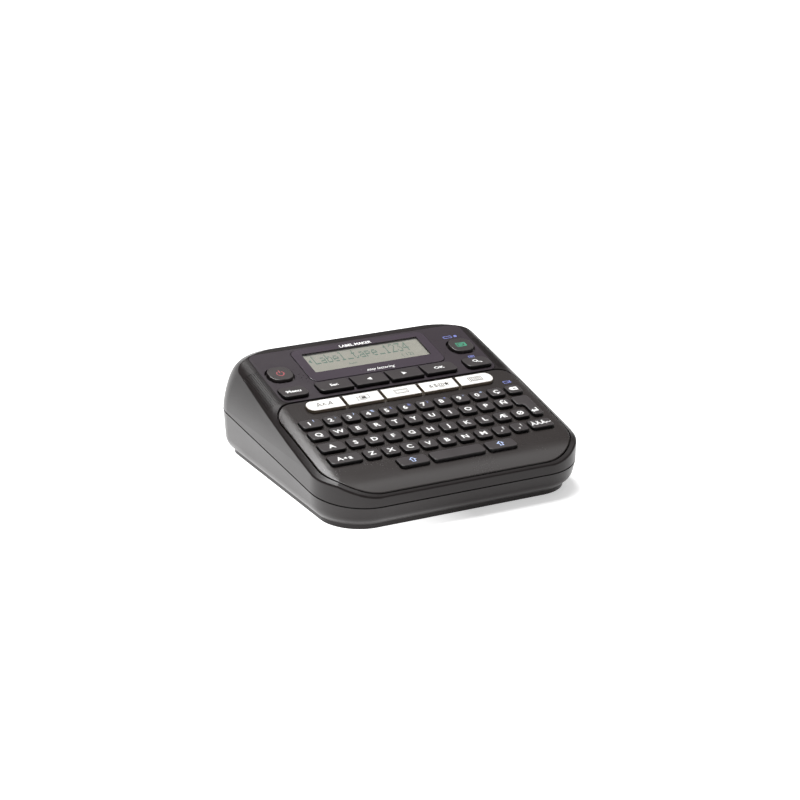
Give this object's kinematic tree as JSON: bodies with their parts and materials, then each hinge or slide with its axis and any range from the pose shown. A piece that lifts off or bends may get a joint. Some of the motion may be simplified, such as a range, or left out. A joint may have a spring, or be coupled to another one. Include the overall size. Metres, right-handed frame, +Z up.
{
  "type": "label maker",
  "caption": "Desktop label maker with a sloping keyboard, liquid crystal display, tape cassette, thermal print drive, cutter lever, and a hinged cover underneath.",
  "frame": {"origin": "on the table, under the middle of the body", "axes": "+X to the user's right, +Y away from the user, +Z up"},
  "size_m": [0.157, 0.149, 0.0574],
  "materials": {
    "case": "fine matt grain, near black",
    "fascia": "satin dark grey",
    "surround": "satin, slightly purple dark grey",
    "display_frame": "semi gloss dark",
    "window": "clear",
    "lcd": "grey-green reflective display",
    "dark_keys": "matt dark key tops",
    "white_keys": "satin off-white",
    "round_keys": "matt dark",
    "membrane": "matt black silicone",
    "board": "green solder mask",
    "cells": "printed sleeve",
    "nickel": "nickel plated spring steel",
    "jack": "moulded black",
    "chassis": "moulded black",
    "ceramic": "glazed ceramic",
    "heat_sink": "satin",
    "motor_can": "plated steel",
    "brass_gear": "machined",
    "white_gear": "acetal",
    "holder": "moulded",
    "lever": "satin moulded",
    "steel_blade": "ground steel",
    "spring_steel": "wire",
    "cassette": "smoked moulded",
    "rubber": "matt",
    "screw_steel": "black zinc",
    "roller_rubber": "matt",
    "tape": "white label tape",
    "ribbon": "inked ribbon film"
  },
  "bodies": {
    "housing": {"lower_case": "case", "upper_case": "case", "key_fascia": "fascia", "display_surround": "surround", "display_frame": "display_frame", "display_window": "window", "lcd_panel": "lcd", "keypad_membrane": "membrane", "main_board": "board", "battery_cells": "cells", "battery_contacts": "nickel", "dc_jack": "jack", "chassis": "chassis", "print_head": "ceramic", "heat_sink": "heat_sink", "motor": "motor_can", "fixed_blade": "steel_blade", "cutter_spring": "spring_steel", "cassette_shell": "cassette", "rubber_feet": "rubber", "case_screws": "screw_steel"},
    "number_row_keys": {"number_row_keys": "dark_keys"},
    "top_letter_keys": {"top_letter_keys": "dark_keys"},
    "home_letter_keys": {"home_letter_keys": "dark_keys"},
    "bottom_letter_keys": {"bottom_letter_keys": "dark_keys"},
    "backspace_key": {"backspace_key": "dark_keys"},
    "enter_key": {"enter_key": "dark_keys"},
    "caps_key": {"caps_key": "dark_keys"},
    "accent_key": {"accent_key": "dark_keys"},
    "shift_key_left": {"shift_key_left": "dark_keys"},
    "space_key": {"space_key": "dark_keys"},
    "shift_key_right": {"shift_key_right": "dark_keys"},
    "font_key": {"font_key": "white_keys"},
    "frame_key": {"frame_key": "white_keys"},
    "label_key": {"label_key": "white_keys"},
    "symbol_key": {"symbol_key": "white_keys"},
    "template_key": {"template_key": "white_keys"},
    "esc_key": {"esc_key": "dark_keys"},
    "left_key": {"left_key": "dark_keys"},
    "right_key": {"right_key": "dark_keys"},
    "ok_key": {"ok_key": "dark_keys"},
    "menu_key": {"menu_key": "dark_keys"},
    "find_key": {"find_key": "dark_keys"},
    "power_key": {"power_key": "round_keys"},
    "print_key": {"print_key": "round_keys"},
    "back_cover": {"back_cover": "case"},
    "cutter": {"cutter_lever": "lever", "cutter_blade": "steel_blade"},
    "roller_holder": {"roller_holder": "holder"},
    "feed_drive": {"feed_gear": "white_gear", "feed_roller": "roller_rubber"},
    "take_up_drive": {"take_up_gear": "white_gear", "take_up_spool": "ribbon"},
    "idler_gear": {"idler_gear": "white_gear"},
    "reduction_gear": {"reduction_gear": "white_gear"},
    "motor_pinion": {"motor_pinion": "brass_gear"},
    "tape_roll": {"tape_roll": "tape"},
    "ribbon_spool": {"ribbon_spool": "ribbon"},
    "platen_roller": {"platen_roller": "roller_rubber"},
    "pinch_roller": {"pinch_roller": "roller_rubber"}
  },
  "joints": [
    {"name": "number_row_keys_press", "type": "slide", "parent": "housing", "child": "number_row_keys", "axis": [0, 0.2463, -0.9692], "range_m": [0, 0.001], "stiffness_N_per_m": 1326.6, "springref_m": -0.001},
    {"name": "top_letter_keys_press", "type": "slide", "parent": "housing", "child": "top_letter_keys", "axis": [0, 0.2463, -0.9692], "range_m": [0, 0.001], "stiffness_N_per_m": 1326.6, "springref_m": -0.001},
    {"name": "home_letter_keys_press", "type": "slide", "parent": "housing", "child": "home_letter_keys", "axis": [0, 0.2463, -0.9692], "range_m": [0, 0.001], "stiffness_N_per_m": 1326.6, "springref_m": -0.001},
    {"name": "bottom_letter_keys_press", "type": "slide", "parent": "housing", "child": "bottom_letter_keys", "axis": [0, 0.2463, -0.9692], "range_m": [0, 0.001], "stiffness_N_per_m": 1200, "springref_m": -0.001},
    {"name": "backspace_key_press", "type": "slide", "parent": "housing", "child": "backspace_key", "axis": [0, 0.2463, -0.9692], "range_m": [0, 0.001], "stiffness_N_per_m": 400, "springref_m": -0.001},
    {"name": "enter_key_press", "type": "slide", "parent": "housing", "child": "enter_key", "axis": [0, 0.2463, -0.9692], "range_m": [0, 0.001], "stiffness_N_per_m": 400, "springref_m": -0.001},
    {"name": "caps_key_press", "type": "slide", "parent": "housing", "child": "caps_key", "axis": [0, 0.2463, -0.9692], "range_m": [0, 0.001], "stiffness_N_per_m": 400, "springref_m": -0.001},
    {"name": "accent_key_press", "type": "slide", "parent": "housing", "child": "accent_key", "axis": [0, 0.2463, -0.9692], "range_m": [0, 0.001], "stiffness_N_per_m": 400, "springref_m": -0.001},
    {"name": "shift_key_left_press", "type": "slide", "parent": "housing", "child": "shift_key_left", "axis": [0, 0.2463, -0.9692], "range_m": [0, 0.001], "stiffness_N_per_m": 400, "springref_m": -0.001},
    {"name": "space_key_press", "type": "slide", "parent": "housing", "child": "space_key", "axis": [0, 0.2463, -0.9692], "range_m": [0, 0.001], "stiffness_N_per_m": 400, "springref_m": -0.001},
    {"name": "shift_key_right_press", "type": "slide", "parent": "housing", "child": "shift_key_right", "axis": [0, 0.2463, -0.9692], "range_m": [0, 0.001], "stiffness_N_per_m": 400, "springref_m": -0.001},
    {"name": "font_key_press", "type": "slide", "parent": "housing", "child": "font_key", "axis": [0, 0.2463, -0.9692], "range_m": [0, 0.001], "stiffness_N_per_m": 400, "springref_m": -0.001},
    {"name": "frame_key_press", "type": "slide", "parent": "housing", "child": "frame_key", "axis": [0, 0.2463, -0.9692], "range_m": [0, 0.001], "stiffness_N_per_m": 400, "springref_m": -0.001},
    {"name": "label_key_press", "type": "slide", "parent": "housing", "child": "label_key", "axis": [0, 0.2463, -0.9692], "range_m": [0, 0.001], "stiffness_N_per_m": 400, "springref_m": -0.001},
    {"name": "symbol_key_press", "type": "slide", "parent": "housing", "child": "symbol_key", "axis": [0, 0.2463, -0.9692], "range_m": [0, 0.001], "stiffness_N_per_m": 400, "springref_m": -0.001},
    {"name": "template_key_press", "type": "slide", "parent": "housing", "child": "template_key", "axis": [0, 0.2463, -0.9692], "range_m": [0, 0.001], "stiffness_N_per_m": 400, "springref_m": -0.001},
    {"name": "esc_key_press", "type": "slide", "parent": "housing", "child": "esc_key", "axis": [0, 0.2463, -0.9692], "range_m": [0, 0.001], "stiffness_N_per_m": 400, "springref_m": -0.001},
    {"name": "left_key_press", "type": "slide", "parent": "housing", "child": "left_key", "axis": [0, 0.2463, -0.9692], "range_m": [0, 0.001], "stiffness_N_per_m": 400, "springref_m": -0.001},
    {"name": "right_key_press", "type": "slide", "parent": "housing", "child": "right_key", "axis": [0, 0.2463, -0.9692], "range_m": [0, 0.001], "stiffness_N_per_m": 400, "springref_m": -0.001},
    {"name": "ok_key_press", "type": "slide", "parent": "housing", "child": "ok_key", "axis": [0, 0.2463, -0.9692], "range_m": [0, 0.001], "stiffness_N_per_m": 400, "springref_m": -0.001},
    {"name": "menu_key_press", "type": "slide", "parent": "housing", "child": "menu_key", "axis": [0, 0.2463, -0.9692], "range_m": [0, 0.001], "stiffness_N_per_m": 400, "springref_m": -0.001},
    {"name": "find_key_press", "type": "slide", "parent": "housing", "child": "find_key", "axis": [0, 0.2463, -0.9692], "range_m": [0, 0.001], "stiffness_N_per_m": 400, "springref_m": -0.001},
    {"name": "power_key_press", "type": "slide", "parent": "housing", "child": "power_key", "axis": [0, 0.2463, -0.9692], "range_m": [0, 0.001], "stiffness_N_per_m": 400, "springref_m": -0.001},
    {"name": "print_key_press", "type": "slide", "parent": "housing", "child": "print_key", "axis": [0, 0.2463, -0.9692], "range_m": [0, 0.001], "stiffness_N_per_m": 400, "springref_m": -0.001},
    {"name": "back_cover_hinge", "type": "hinge", "parent": "housing", "child": "back_cover", "pos_m": [0, -0.063, 0.0032], "axis": [-1, 0, 0], "range_deg": [0, 95]},
    {"name": "cutter_press", "type": "hinge", "parent": "housing", "child": "cutter", "pos_m": [-0.041, 0.067, 0.032], "axis": [0, -1, 0], "range_deg": [0, 13], "stiffness_Nm_per_rad": 0.05, "springref_deg": -20.05},
    {"name": "roller_holder_swing", "type": "hinge", "parent": "housing", "child": "roller_holder", "pos_m": [-0.043, 0.03, 0.012], "axis": [0, 0, 1], "range_deg": [0, 7.6]},
    {"name": "feed_spin", "type": "hinge", "parent": "housing", "child": "feed_drive", "pos_m": [-0.0278, 0.0585, 0.02], "axis": [0, 0, 1], "continuous": true},
    {"name": "take_up_spin", "type": "hinge", "parent": "housing", "child": "take_up_drive", "pos_m": [-0.0145, 0.0445, 0.02], "axis": [0, 0, 1], "continuous": true},
    {"name": "idler_spin", "type": "hinge", "parent": "housing", "child": "idler_gear", "pos_m": [0.00588, 0.04996, 0.02], "axis": [0, 0, 1], "continuous": true},
    {"name": "reduction_spin", "type": "hinge", "parent": "housing", "child": "reduction_gear", "pos_m": [0.02038, 0.04996, 0.02], "axis": [0, 0, 1], "continuous": true},
    {"name": "motor_spin", "type": "hinge", "parent": "housing", "child": "motor_pinion", "pos_m": [0.03548, 0.04996, 0.02], "axis": [0, 0, 1], "continuous": true},
    {"name": "tape_roll_spin", "type": "hinge", "parent": "housing", "child": "tape_roll", "pos_m": [-0.002, 0.014, 0.02], "axis": [0, 0, 1], "continuous": true},
    {"name": "ribbon_spin", "type": "hinge", "parent": "housing", "child": "ribbon_spool", "pos_m": [0.011, 0.052, 0.02], "axis": [0, 0, 1], "continuous": true},
    {"name": "platen_spin", "type": "hinge", "parent": "roller_holder", "child": "platen_roller", "pos_m": [-0.0351, 0.047, 0.02], "axis": [0, 0, 1], "continuous": true},
    {"name": "pinch_spin", "type": "hinge", "parent": "roller_holder", "child": "pinch_roller", "pos_m": [-0.0352, 0.0585, 0.02], "axis": [0, 0, 1], "continuous": true}
  ],
  "couplings": [
    {"joint": "roller_holder_swing", "follows": "back_cover_hinge", "ratio": 0.08},
    {"joint": "take_up_spin", "follows": "feed_spin", "ratio": -0.88235},
    {"joint": "idler_spin", "follows": "feed_spin", "ratio": 0.83333},
    {"joint": "reduction_spin", "follows": "feed_spin", "ratio": -2.5},
    {"joint": "motor_spin", "follows": "feed_spin", "ratio": 10},
    {"joint": "tape_roll_spin", "follows": "feed_spin", "ratio": 0.16364},
    {"joint": "ribbon_spin", "follows": "feed_spin", "ratio": -0.48},
    {"joint": "platen_spin", "follows": "feed_spin", "ratio": -0.9},
    {"joint": "pinch_spin", "follows": "feed_spin", "ratio": -1.0286}
  ]
}
